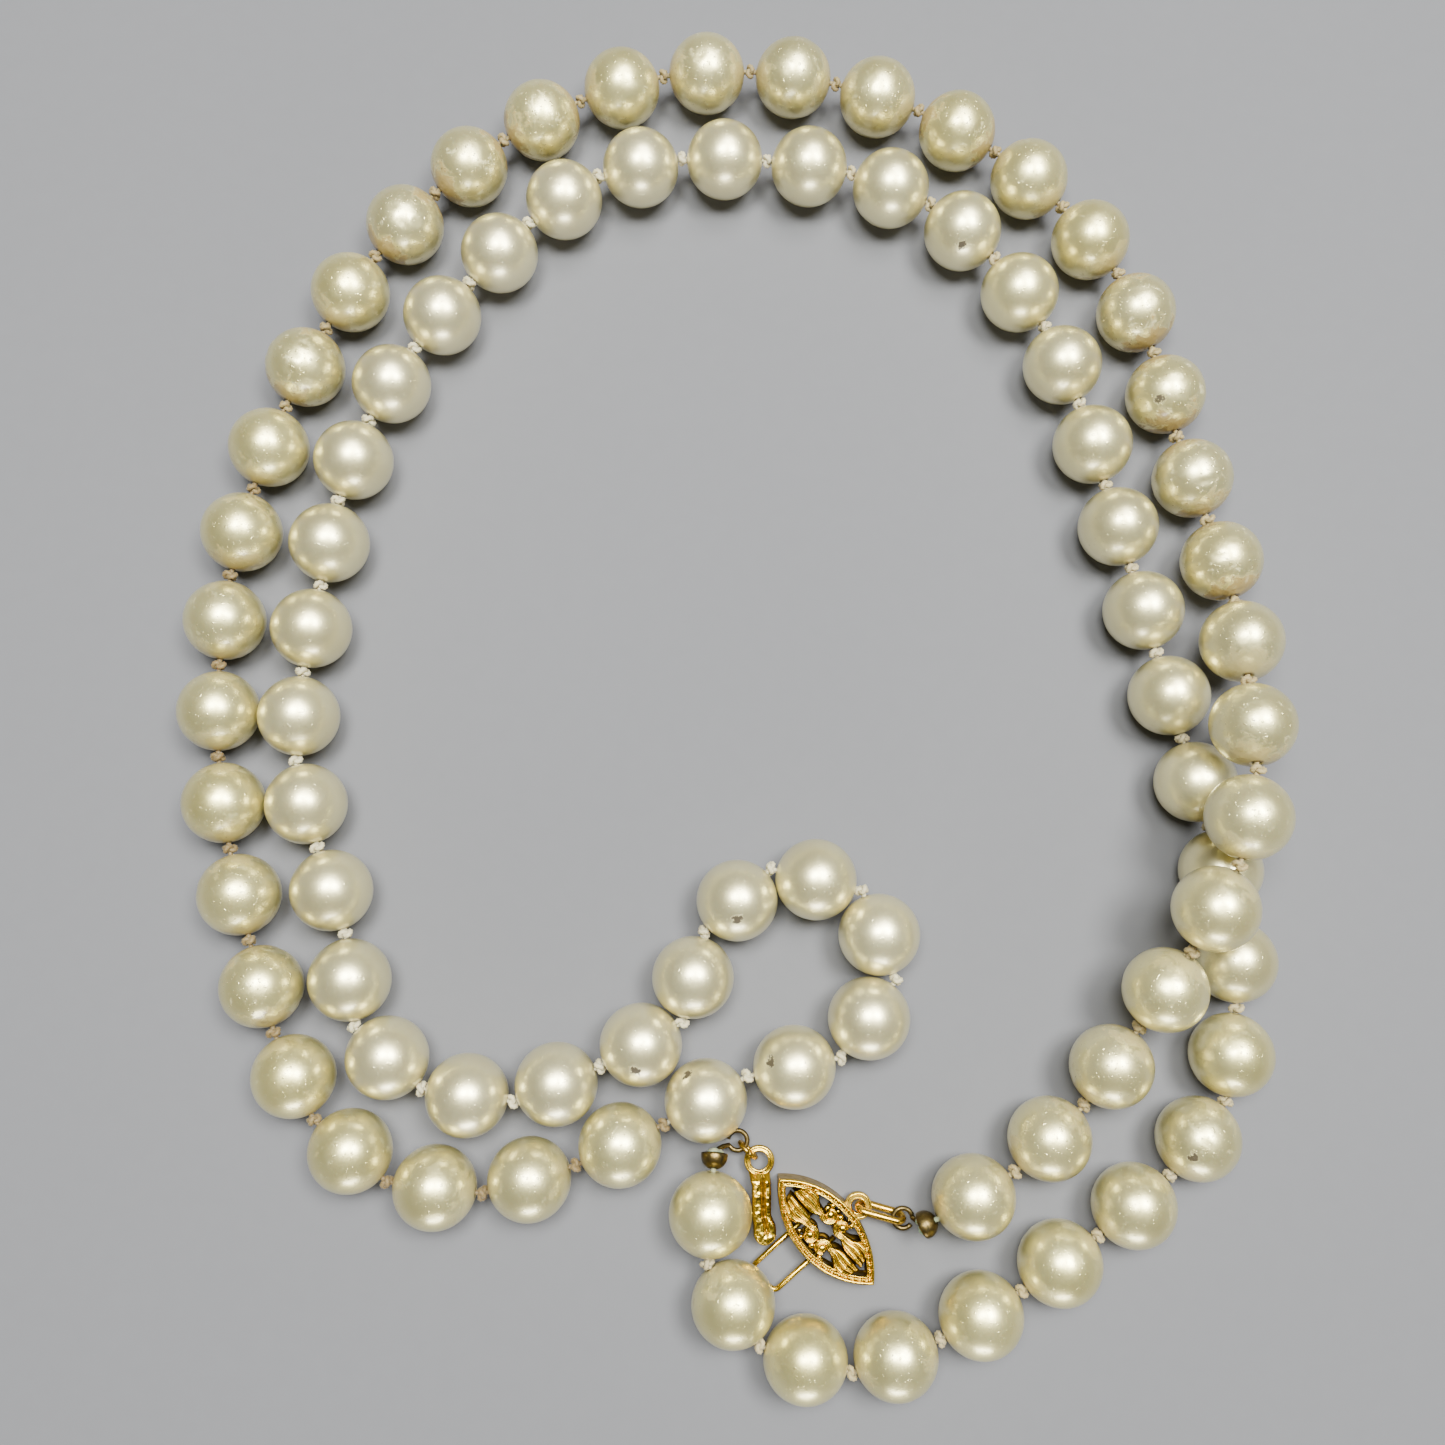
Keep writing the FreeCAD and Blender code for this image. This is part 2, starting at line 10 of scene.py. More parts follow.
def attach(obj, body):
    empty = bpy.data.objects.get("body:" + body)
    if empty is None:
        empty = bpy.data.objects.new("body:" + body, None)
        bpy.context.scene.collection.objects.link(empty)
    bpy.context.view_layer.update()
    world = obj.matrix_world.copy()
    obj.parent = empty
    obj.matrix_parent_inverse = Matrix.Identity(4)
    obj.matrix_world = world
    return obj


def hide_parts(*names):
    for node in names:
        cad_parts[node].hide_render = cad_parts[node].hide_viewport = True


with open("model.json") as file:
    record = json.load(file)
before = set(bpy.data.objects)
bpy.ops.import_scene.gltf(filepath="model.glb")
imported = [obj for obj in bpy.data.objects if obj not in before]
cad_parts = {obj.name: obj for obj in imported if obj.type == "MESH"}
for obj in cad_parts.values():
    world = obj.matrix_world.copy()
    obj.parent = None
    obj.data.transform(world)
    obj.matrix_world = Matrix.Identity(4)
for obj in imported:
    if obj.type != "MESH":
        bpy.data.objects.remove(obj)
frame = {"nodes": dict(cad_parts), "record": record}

# The looks of a knotted pearl necklace laid in a doubled loop with its filigree clasp open.
# Sizes below are millimetres, in the frame's own axes. A piece becomes metres with MM.
# The camera's distance is in millimetres too; the lamps' places and sizes are in metres.

MM = 0.001
UP = Vector((0, 0, 1))
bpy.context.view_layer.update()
BODY_OF = {node: body for body, nodes in frame["record"]["behaviour"]["bodies"].items() for node in nodes}

# The strand's line from the case end to the hook end, before it is centred.
ROUTE = [
    (20.0, -48.0, 4.0), (28.0, -43.5, 4.0), (35.0, -37.0, 4.2), (40.0, -29.5, 6.0),
    (44.0, -22.0, 10.0), (47.5, -14.5, 12.9), (49.7, -6.5, 12.4), (50.6, 2.5, 9.6),
    (51.2, 11.0, 6.0), (49.8, 19.5, 4.0), (47.0, 28.5, 4.0), (42.0, 46.0, 4.0),
    (29.6, 60.2, 4.0), (13.0, 68.2, 4.0), (-5.5, 69.5, 4.0), (-22.5, 62.5, 4.0),
    (-36.0, 49.5, 4.0), (-45.0, 33.0, 4.0), (-49.8, 15.5, 4.0), (-50.3, -3.0, 4.0),
    (-46.5, -21.0, 4.0), (-40.0, -37.8, 4.0), (-32.5, -44.2, 4.0), (-23.0, -45.4, 4.0),
    (-14.0, -42.8, 4.0), (-5.2, -38.8, 4.0), (2.7, -34.4, 4.0), (11.2, -32.9, 4.0),
    (17.0, -25.2, 4.0), (13.7, -16.6, 4.0),
    (4.5, -14.6, 4.0), (-2.0, -21.0, 4.0), (-4.0, -29.5, 4.0), (-12.0, -33.6, 4.0),
    (-20.5, -36.9, 4.0), (-29.5, -35.5, 4.0), (-36.0, -29.5, 4.0), (-37.0, -20.5, 4.0),
    (-42.5, -4.5, 4.0), (-41.0, 12.5, 4.0), (-36.8, 30.5, 4.0), (-26.5, 46.0, 4.0),
    (-13.0, 58.0, 4.0), (4.5, 59.8, 4.0), (21.8, 55.0, 4.0), (33.7, 41.0, 4.0),
    (39.4, 23.5, 4.0), (44.0, 5.5, 4.0), (48.6, -12.2, 4.0), (50.3, -21.0, 4.0),
    (49.8, -30.0, 4.0), (47.8, -38.5, 4.0), (34.5, -50.2, 4.0), (20.0, -59.0, 4.0),
    (11.0, -61.8, 4.0), (2.5, -58.5, 4.0), (-1.8, -50.5, 4.0), (-0.8, -42.6, 4.0),
]
ROUTE_STEPS = 40        # straight pieces to each curved step of the line

PEARLS = 81
OUTER_PEARLS = 41       # pearls 1 to 41 are strung with the outer gap, the rest with the inner
OUTER_GAP = 1.25
INNER_GAP = 0.97
PEARL_RADIUS = 4.0
BORE_RADIUS = 0.45
THREAD_RADIUS = 0.27

# Stretches of the strand that look alike: (last pearl, yellowness, wear, age of the silk).
# A yellowness of 0 is a pinkish white and 1 an old yellow cream. Silk of age 0 is white, 1 brown.
STRETCHES = [
    (8, 0.7, 0.55, 0.42),
    (13, 0.78, 1.0, 0.45),
    (24, 0.88, 0.85, 0.62),
    (36, 0.9, 0.6, 0.92),
    (60, 0.12, 0.08, 0.05),
    (72, 0.42, 0.15, 0.2),
    (81, 1.0, 0.45, 0.28),
]
# Pits where the coating has come off: pearl -> place seen from above, in pearl radii.
PITS = {11: (-0.42, -0.42), 37: (-0.44, 0.7), 38: (-0.6, 0.23), 42: (-0.02, -0.44), 44: (-0.06, -0.5),
        63: (-0.14, -0.72), 74: (-0.43, -0.27)}

# The case, its lug and the link. The case's middle is given before the strand is centred.
CASE_MIDDLE = (10.0, -49.3)
CASE_TURN = math.radians(-47.3)
CASE_LENGTH = 13.4
CASE_WIDTH = 6.3
RIM_HEIGHT = 1.9
PLATE = 0.45            # the thickness of a face
LEVEL = PLATE + RIM_HEIGHT / 2
LUG_OFFSET = (0.6, 3.83)
LUG_TO_TIP = (0.964, -0.266)
LINK_LENGTH = 4.5
LINK_HEIGHT = 1.5
LINK_WIRE = 0.35        # wire sizes are radii
LINK_TILT = math.radians(22)

# The hook's eye, also given before the strand is centred, the jump ring and the bead tips.
EYE_MIDDLE = (3.6, -42.9)
EYE_TO_TIP = (-0.744, 0.668)
EYE_PLAY = 0.45         # from the eye's middle to the near side of the jump ring
JUMP_RING = 2.1         # across the middle of its wire
LOOP_PLAY = 0.3         # from the ring's far side to the middle of the bead tip's loop
RING_WIRE = 0.22
CUP_RADIUS = 1.3
CUP_CLEARANCE = 0.15
CUP_DIP = 0.35
TIP_LOOP = 0.95
LOOP_WIRE = 0.24

# The wire catch, in the case's own frame.
CATCH_OFFSET = -0.5
CATCH_DROP = math.radians(7)
CATCH_SPAN = 3.2
CATCH_REACH = 7.8
CATCH_INSIDE = 3.3
CATCH_SINK = 0.1
CATCH_WIRE = 0.26


# ---- gathering points and faces into pieces

class Shape:
    """The points in millimetres, the faces and the per-point values of one piece."""

    def __init__(self):
        self.points = []
        self.faces = []
        self.values = {}

    def add(self, points, faces, **values):
        base = len(self.points)
        self.points += points
        self.faces += [tuple(base + i for i in face) for face in faces]
        for key, value in values.items():
            column = value if isinstance(value, list) else [value] * len(points)
            self.values.setdefault(key, []).extend(column)

    def skin(self, rings, wrap=False, **values):
        """Joins closed rings of points in a row; wrap joins the last to the first, else ends are capped."""
        count = len(rings[0])
        rows = len(rings) if wrap else len(rings) - 1
        faces = []
        for row in range(rows):
            a = row * count
            b = (row + 1) % len(rings) * count
            for i in range(count):
                j = (i + 1) % count
                faces.append((a + i, a + j, b + j, b + i))
        if not wrap:
            faces.append(tuple(reversed(range(count))))
            faces.append(tuple(range((len(rings) - 1) * count, len(rings) * count)))
        self.add([point for ring in rings for point in ring], faces, **values)

    def piece(self, name, material, body, *replaced):
        mesh = bpy.data.meshes.new(name)
        mesh.from_pydata([point * MM for point in self.points], [], self.faces)
        for key, column in self.values.items():
            mesh.attributes.new(key, "FLOAT", "POINT").data.foreach_set("value", column)
        mesh.shade_smooth()
        work = bmesh.new()
        work.from_mesh(mesh)
        bmesh.ops.recalc_face_normals(work, faces=work.faces)
        work.to_mesh(mesh)
        work.free()
        mesh.materials.append(material)
        item = bpy.data.objects.new(name, mesh)
        bpy.context.scene.collection.objects.link(item)
        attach(item, body)
        if replaced:
            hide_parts(*replaced)
        return item


def facing(direction):
    """The rotation that turns +Z to a direction."""
    return UP.rotation_difference(direction).to_matrix()


def circle(radius, count, turn=0.0):
    return [Vector((math.cos(a) * radius, math.sin(a) * radius))
            for a in (turn + math.tau * i / count for i in range(count))]


def sweep(shape, path, section, closed=False, **values):
    """Carries a cross-section along a path. The section is given for each point's number."""
    count = len(path)
    rings = []
    side = None
    for i, point in enumerate(path):
        before = path[(i - 1) % count] if closed or i else point
        after = path[(i + 1) % count] if closed or i < count - 1 else point
        along = (after - before).normalized()
        if side is None:
            side = along.orthogonal().normalized() if abs(along.z) > 0.9 else UP.cross(along).normalized()
        side = (side - along * side.dot(along)).normalized()
        lift = along.cross(side)
        rings.append([point + side * p.x + lift * p.y for p in section(i)])
    shape.skin(rings, wrap=closed, **values)


def tube(shape, path, radius, count=14, closed=False, **values):
    ring = circle(radius, count)
    sweep(shape, path, lambda i: ring, closed, **values)


def lathe(shape, profile, turn, middle, count=40, **values):
    """Turns a closed outline of (radius, height) about the turned Z axis through the middle."""
    rings = []
    for radius, height in profile:
        ring = [Vector((p.x, p.y, height)) for p in circle(radius, count)]
        rings.append([middle + turn @ point for point in ring])
    shape.skin(rings, wrap=True, **values)


def ball(shape, middle, radius, count=16, squash=1.0, **values):
    rings = []
    for row in range(1, count // 2):
        angle = math.pi * row / (count // 2)
        height = math.cos(angle) * radius * squash
        ring = [Vector((p.x, p.y, height)) for p in circle(math.sin(angle) * radius, count)]
        rings.append([middle + point for point in ring])
    shape.skin(rings, **values)


# ---- the strand's line

def curve_value(a, b, c, d, d1, d2, d3, u):
    leave = (c - b) + d2 * ((b - a) / d1 - (c - a) / (d1 + d2))
    arrive = (c - b) + d2 * ((d - c) / d3 - (d - b) / (d2 + d3))
    cubic = 2 * b - 2 * c + leave + arrive
    square = 3 * (c - b) - 2 * leave - arrive
    return cubic * u**3 + square * u**2 + leave * u + b


def smooth_line(points, steps):
    """Centripetal Catmull-Rom curve through the points, as short straight pieces."""
    first = tuple(2 * a - b for a, b in zip(points[0], points[1]))
    last = tuple(2 * a - b for a, b in zip(points[-1], points[-2]))
    run = [first, *points, last]
    line = []
    for four in zip(run, run[1:], run[2:], run[3:]):
        d1, d2, d3 = (math.dist(a, b) ** 0.5 for a, b in zip(four, four[1:]))
        for step in range(steps):
            line.append(tuple(curve_value(*axis, d1, d2, d3, step / steps) for axis in zip(*four)))
    return line + [tuple(points[-1])]


def on_segment(start, a, b, chord):
    """The point on the line from a through b that lies one chord from the start."""
    along = [q - p for p, q in zip(a, b)]
    away = [p - s for p, s in zip(a, start)]
    square = sum(x * x for x in along)
    middle = sum(x * y for x, y in zip(along, away))
    rest = sum(x * x for x in away) - chord * chord
    t = (-middle + math.sqrt(middle * middle - square * rest)) / square
    return tuple(p + t * x for p, x in zip(a, along))


def walk(line, chords):
    """The knots: points along the line, each one chord from the last."""
    knots = [line[0]]
    here = 0
    for chord in chords:
        start = knots[-1]
        while here < len(line) - 2 and math.dist(start, line[here + 1]) < chord:
            here += 1
        knots.append(on_segment(start, line[here], line[here + 1], chord))
    return knots


def lay_strand():
    """The knots' places, centred as the frame is, and the shift that centres them."""
    outer = 2 * PEARL_RADIUS + OUTER_GAP
    inner = 2 * PEARL_RADIUS + INNER_GAP
    chords = [outer] * OUTER_PEARLS + [inner] * (PEARLS - OUTER_PEARLS)
    knots = [Vector((x, y, max(z, PEARL_RADIUS)))
             for x, y, z in walk(smooth_line(ROUTE, ROUTE_STEPS), chords)]
    middles = [(a + b) / 2 for a, b in zip(knots, knots[1:])]
    shift = Vector((
        -(min(m.x for m in middles) + max(m.x for m in middles)) / 2,
        -(min(m.y for m in middles) + max(m.y for m in middles)) / 2,
        0,
    ))
    return [knot + shift for knot in knots], shift


def stretch(number):
    return next(row for row in STRETCHES if number <= row[0])


# ---- pearls

PEARL_RINGS = 44
PEARL_SIDES = 60
UNEVEN = 0.006          # how far a pearl is from round, in radii
DENT_DEPTH = 0.06
DENT_FROM = 0.28        # only the noise above this is a dent
FAR = 9.0               # the distance to a pit on a pearl that has none


def pearl_profile():
    """The pearl's outline and bore: (radius, height) from one drill hole round to the other."""
    first = math.asin(BORE_RADIUS / PEARL_RADIUS)
    sphere = []
    for row in range(PEARL_RINGS):
        angle = first + (math.pi - 2 * first) * row / (PEARL_RINGS - 1)
        sphere.append((math.sin(angle) * PEARL_RADIUS, math.cos(angle) * PEARL_RADIUS))
    inside = BORE_RADIUS * 0.92
    return sphere + [(inside, -PEARL_RADIUS * 0.93), (inside, PEARL_RADIUS * 0.93)]


def pearl_surface(point, wear, place):
    """How far a point of the pearl sinks: a barely uneven ball, with shallow dents where it is worn."""
    direction = point.normalized()
    swell = 0.5 + 0.5 * noise.noise(direction * 1.3 + place)
    dent = max(0.0, noise.noise(direction * 4.2 + place * 2) - DENT_FROM)
    return 1 - UNEVEN * swell - DENT_DEPTH * wear * dent


def pit_place(number):
    """The middle of the pearl's pit, from the pearl's middle, if it has one."""
    if number not in PITS:
        return None
    x, y = PITS[number]
    return Vector((x, y, math.sqrt(max(0.0, 1 - x * x - y * y)))) * PEARL_RADIUS


def add_pearl(shape, number, knots, profile):
    start, end = knots[number - 1], knots[number]
    middle = (start + end) / 2
    turn = facing((end - start).normalized())
    _, yellow, wear, _ = stretch(number)
    yellow = min(1.0, max(0.0, yellow + random.uniform(-0.14, 0.14)))
    wear = max(0.0, wear * random.uniform(0.45, 1.2))
    shade = random.uniform(0.0, 1.0)
    place = Vector((number * 3.7, number * 1.9, number * 5.3))
    pit = pit_place(number)
    rings = []
    holes = []
    pits = []
    for radius, height in profile:
        ring = []
        for flat in circle(radius, PEARL_SIDES):
            point = Vector((flat.x, flat.y, height))
            if radius > BORE_RADIUS:
                point *= pearl_surface(point, wear, place)
            placed = turn @ point
            ring.append(middle + placed)
            holes.append(max(0.0, math.asin(min(1.0, radius / PEARL_RADIUS)) * PEARL_RADIUS - BORE_RADIUS))
            pits.append(FAR if pit is None else (placed - pit).length)
        rings.append(ring)
    shape.skin(rings, wrap=True, hole=holes, pit=pits, yellow=yellow, wear=wear, shade=shade)


def make_pearls(knots, material):
    profile = pearl_profile()
    for node in sorted(name for name in frame["nodes"] if name.startswith("pearls_")):
        first, last = span_of(node)
        shape = Shape()
        for number in range(first, last + 1):
            add_pearl(shape, number, knots, profile)
        item = shape.piece(node + "_coated", material, BODY_OF[node], node)


def span_of(node):
    numbers = [int(word) for word in node.split("_")[1:]]
    return numbers[0], numbers[-1]


# ---- silk: a plied thread with an overhand knot after every pearl

PLY_COUNT = 3
PLY_DEPTH = 0.14        # the groove between two plies, as a share of the cord's radius
PLY_TWIST = 0.62        # the turn of the plies from one point of a path to the next
CORD_SIDES = 12
KNOT_STEPS = 66
KNOT_SPREAD = 0.19
KNOT_HALF = 0.2
KNOT_EXIT = 0.1         # a thread starts this far from its knot's middle
BORE_REACH = 1.1        # and ends this far inside the pearl
THREAD_STEP = 0.18


def plied(radius, twist):
    """The cross-section of a twisted cord: a round with a lobe for each ply."""
    return [p * (1 - PLY_DEPTH + PLY_DEPTH * math.cos(PLY_COUNT * (math.tau * i / CORD_SIDES - twist)))
            for i, p in enumerate(circle(radius, CORD_SIDES))]


def add_knot(shape, place, along, age, size=1.0, green=0.0):
    """An overhand knot drawn tight: a trefoil of cord round the strand's line."""
    turn = facing(along) @ Matrix.Rotation(random.uniform(0, math.tau), 3, "Z")
    spread = KNOT_SPREAD * size * random.uniform(0.92, 1.08)
    half = KNOT_HALF * size
    path = []
    for step in range(KNOT_STEPS):
        t = math.tau * step / KNOT_STEPS
        point = Vector((
            (math.sin(t) + 2 * math.sin(2 * t)) * spread,
            (math.cos(t) - 2 * math.cos(2 * t)) * spread,
            -math.sin(3 * t) * half,
        ))
        path.append(place + turn @ point)
    radius = THREAD_RADIUS * size
    sweep(shape, path, lambda i: plied(radius, i * PLY_TWIST), closed=True, age=age, green=green)


def add_thread(shape, start, end, age, green=0.0):
    steps = max(2, round((end - start).length / THREAD_STEP))
    path = [start.lerp(end, i / steps) for i in range(steps + 1)]
    sweep(shape, path, lambda i: plied(THREAD_RADIUS, i * PLY_TWIST), age=age, green=green)


def make_silk(knots, material):
    for node in sorted(name for name in frame["nodes"] if name.startswith("silk_")):
        first, last = span_of(node)
        shape = Shape()
        for number in range(first, last + 1):
            before, after = knots[number - 1], knots[number]
            along = (after - before).normalized()
            gap = OUTER_GAP if number <= OUTER_PEARLS else INNER_GAP
            age = stretch(number)[3] + random.uniform(-0.08, 0.08)
            reach = gap / 2 + BORE_REACH
            if number > 1:
                add_thread(shape, before + along * KNOT_EXIT, before + along * reach, age)
            add_thread(shape, after - along * reach, after, age)
            if number < PEARLS:
                add_knot(shape, after, along, age)
        shape.piece(node + "_plied", material, BODY_OF[node], node)


# ---- bead tips, link and jump ring

def hanging(direction):
    return (direction.normalized() - UP * CUP_DIP).normalized()


def cup_profile():
    """The cup's wall: a ball-shaped shell with a small hole behind and an open mouth in front."""
    wall = 0.26
    outline = []
    for radius, rising in ((CUP_RADIUS, True), (CUP_RADIUS - wall, False)):
        angles = [-72 + 8 * i for i in range(11)]
        for angle in angles if rising else reversed(angles):
            a = math.radians(angle)
            outline.append((math.cos(a) * radius, math.sin(a) * radius))
    return outline


def add_tip_loop(shape, cup, outward, loop):
    """The wire that leaves the cup under its rim and is bent round into an open loop."""
    rim = cup + outward * 0.2 - UP * (CUP_RADIUS - 0.15)
    flat = Vector((rim.x - loop.x, rim.y - loop.y, 0)).normalized()
    across = UP.cross(flat)
    near = loop + flat * TIP_LOOP
    path = [rim + outward * -0.5 + UP * 0.06, rim.lerp(near, 0.25), rim.lerp(near, 0.6)]
    turns = 26
    for i in range(turns):
        a = math.radians(8 + 322 * i / (turns - 1))
        path.append(loop + (flat * math.cos(a) + across * math.sin(a)) * TIP_LOOP)
    # Painted shade, slight (0.05), over the whole tip loop.
    tube(shape, path, LOOP_WIRE, hollow=0.05)


def make_bead_tip(side, knot, outward, loop, brass, silk):
    """A cup with its wire loop, and the end knot that sits in it."""
    gap = OUTER_GAP if side == "a" else INNER_GAP
    cup = knot + outward * (CUP_RADIUS - gap / 2 + CUP_CLEARANCE)
    shape = Shape()
    # Painted shade of 0.2 over the whole cup.
    lathe(shape, cup_profile(), facing(outward), cup, hollow=0.2)
    add_tip_loop(shape, cup, outward, loop)
    shape.piece(f"bead_tip_{side}_cup", brass, f"tip_{side}", f"bead_tip_{side}")
    knotted = Shape()
    green = 0.95 if side == "a" else 0.6
    add_knot(knotted, cup + outward * 0.15, outward, 0.6, size=1.15, green=green)
    add_thread(knotted, cup - outward * (CUP_RADIUS + 0.3), cup, 0.6, green=green * 0.6)
    node = f"end_knot_{side}"
    knotted.piece(node + "_plied", silk, f"tip_{side}", node)


def make_link(lug, tip, material):
    """The oval link: one long closed loop of round wire, nearly on edge."""
    along = (tip - lug).normalized()
    lift = Matrix.Rotation(LINK_TILT, 3, along) @ UP
    half = LINK_HEIGHT / 2
    path = []
    for middle, sense in ((tip - along * half, 1), (lug + along * half, -1)):
        for i in range(17):
            a = math.pi * i / 16
            path.append(middle + (along * math.sin(a) + lift * math.cos(a)) * half * sense)
    shape = Shape()
    # Painted shade, slight (0.1), over the whole link wire.
    tube(shape, path, LINK_WIRE, closed=True, hollow=0.1)
    shape.piece("oval_link_wire", material, "link", "oval_link")


def make_jump_ring(middle, toward, material):
    """An open ring of thin wire, its two cut ends just apart."""
    shape = Shape()
    steps = 44
    path = []
    for i in range(steps + 1):
        a = math.radians(96 + 352 * i / steps)
        path.append(middle + (toward * math.cos(a) + UP * math.sin(a)) * JUMP_RING / 2)
    # Painted shade, slight (0.1), over the whole jump ring.
    tube(shape, path, RING_WIRE, hollow=0.1)
    shape.piece("jump_ring_wire", material, "ring", "jump_ring")


# ---- hook

def ring_profile(inner, outer, half):
    """A cast eye: a raised round rim at its outer and inner edge, a shallow channel between."""
    low = half * 0.55
    top = [(inner, 0), (inner + 0.03, low), (inner + 0.12, half), (inner + 0.22, low * 1.2)]
    top += [(inner + 0.3, low), (outer - 0.32, low), (outer - 0.25, half * 0.9), (outer - 0.14, half)]
    top += [(outer - 0.03, low), (outer, 0)]
    return top + [(r, -z) for r, z in reversed(top[1:-1])]


EYE_INNER = 0.85
EYE_OUTER = 1.5
EYE_HALF = 0.27         # half the eye's thickness
NECK_HALF = 0.22        # half the thickness where the tongue leaves the eye
NECK_START = 1.15       # distances down the tongue are from the eye's middle
NECK_WIDTH = 2.1
NECK_SHIFT = 0.2        # the tongue's middle moves this far sideways at the neck
LEAF_START = 2.4
TONGUE_WIDTH = 1.85
LOBE_START = 4.9
LOBE_LENGTH = 1.5
LOBE_SHIFT = 0.3        # and this far again at the round end
END_MIDDLE = 6.7
END_RADIUS = 1.1
GROOVE_WIDTH = 0.17
GRAIN_HEIGHT = 0.06
# The two leaves of the tongue: the underside's level, the top's level and the groove's depth.
LEAVES = ((-0.35, 0.0, 0.0), (0.5, 0.87, 0.34))


def tongue_outline(down):
    """The tongue's (middle, width) at a distance below the eye: a neck, an even part and a round end."""
    into = min(1.0, max(0.0, (down - NECK_START) / (LEAF_START - NECK_START)))
    swell = min(1.0, max(0.0, (down - LOBE_START) / LOBE_LENGTH))
    swell = swell * swell * (3 - 2 * swell)
    width = NECK_WIDTH + (TONGUE_WIDTH - NECK_WIDTH) * into + (2 * END_RADIUS - TONGUE_WIDTH) * swell
    past = max(0.0, down - END_MIDDLE)
    if past:
        width = 2 * math.sqrt(max(0.01, END_RADIUS**2 - past**2))
    return NECK_SHIFT * into + LOBE_SHIFT * swell, width


def leaf_section(middle, width, low, high, groove):
    """One section of a leaf: (across, level, painted shade), with a groove along its top; the groove and the
    two underside edges are darkened as painted shade.
    """
    count = 26
    section = []
    for i in range(count + 1):
        share = i / count * 2 - 1
        rounding = (1 - abs(share) ** 5) ** 0.5
        cut = math.exp(-((share * width / 2 - 0.16) / GROOVE_WIDTH) ** 2)
        level = low + (high - low) * (0.3 + 0.7 * rounding) - groove * cut
        section.append((middle + share * width / 2, level, cut * min(1.0, groove * 5)))
    section.append((middle + width / 2, low, 0.8))
    section.append((middle - width / 2, low, 0.8))
    return section


def add_tongue_leaf(shape, eye, low, high, groove):
    """One grainy leaf of the tongue, from the eye's own thickness to its full depth."""
    steps = 90
    length = END_MIDDLE + END_RADIUS - 0.02 - NECK_START
    rings = []
    hollow = []
    for i in range(steps + 1):
        down = NECK_START + length * i / steps
        middle, width = tongue_outline(down)
        level = min(1.0, (down - NECK_START) / 0.7)
        fade = level * min(1.0, max(0.0, (END_MIDDLE + 0.5 - down) / 0.8))
        section = leaf_section(middle, width, -NECK_HALF + (low + NECK_HALF) * level,
                               NECK_HALF + (high - NECK_HALF) * level, groove * fade)
        ring = []
        for across, height, cut in section:
            point = eye + Vector((across, -down, height))
            grain = noise.fractal(point * 1.9, 0.9, 2.1, 5)
            point.z += GRAIN_HEIGHT * grain * level
            ring.append(point)
            # Painted shade in the groove and in the low points of the grain.
            hollow.append(max(cut, 0.25 - grain * 0.8))
        rings.append(ring)
    shape.skin(rings, hollow=hollow)


def add_fold(shape, eye):
    """The waisted drum that joins the two leaves at the round end."""
    rings = []
    for height in (-0.3, 0.05, 0.3, 0.55):
        reach = END_RADIUS - 0.09 - 0.07 * math.cos(math.pi * (height - 0.12) / 0.42)
        middle = eye + Vector((NECK_SHIFT + LOBE_SHIFT, -END_MIDDLE, height))
        rings.append([middle + Vector((p.x, p.y, 0)) for p in circle(reach, 40)])
    # Painted shade of 0.6 over the whole drum between the leaves.
    shape.skin(rings, hollow=0.6)


def make_hook(eye, material):
    """The cast hook: its eye, and a tongue of two leaves, grainy and grooved, joined at a round end."""
    shape = Shape()
    # Painted shade, slight (0.1), over the whole eye.
    lathe(shape, ring_profile(EYE_INNER, EYE_OUTER, EYE_HALF), Matrix.Identity(3), eye, hollow=0.1)
    for low, high, groove in LEAVES:
        add_tongue_leaf(shape, eye, low, high, groove)
    add_fold(shape, eye)
    shape.piece("hook_cast", material, "hook", "hook")


# ---- case: pierced faces, rails, lug and catch

OUTLINE_STEPS = 60
BEADING_INSET = 0.47
BEADING_SPACING = 0.34
BEADING_RADIUS = 0.16


def lens_outline(inset):
    """Points round a pointed oval, this far inside the case's outline."""
    radius = (CASE_LENGTH**2 + CASE_WIDTH**2) / (4 * CASE_WIDTH)
    drop = radius - CASE_WIDTH / 2
    inner = radius - inset
    reach = math.acos(min(1.0, drop / inner))
    points = []
    for side in (1, -1):
        for i in range(OUTLINE_STEPS):
            a = reach * (1 - 2 * i / OUTLINE_STEPS)
            points.append(Vector((-math.sin(a) * inner * side, (math.cos(a) * inner - drop) * side)))
    return points


def in_case(x, y, z, side=1):
    """A place in the case's own frame, its height counted from the case's middle outwards."""
    c, s = math.cos(CASE_TURN), math.sin(CASE_TURN)
    return CASE_AT + Vector((x * c - y * s, x * s + y * c, LEVEL + side * z))


def band(shape, profile, side):
    """A closed outline of (inset, height) carried round the case."""
    rings = [[in_case(p.x, p.y, height, side) for p in lens_outline(inset)] for inset, height in profile]
    heights = [height for _, height in profile]
    low, high = min(heights), max(heights)
    # Painted shade: the lower a ring of the outline lies, the darker it is painted.
    hollow = [(high - height) / (high - low) for height in heights for _ in range(2 * OUTLINE_STEPS)]
    shape.skin(rings, wrap=True, hollow=hollow)


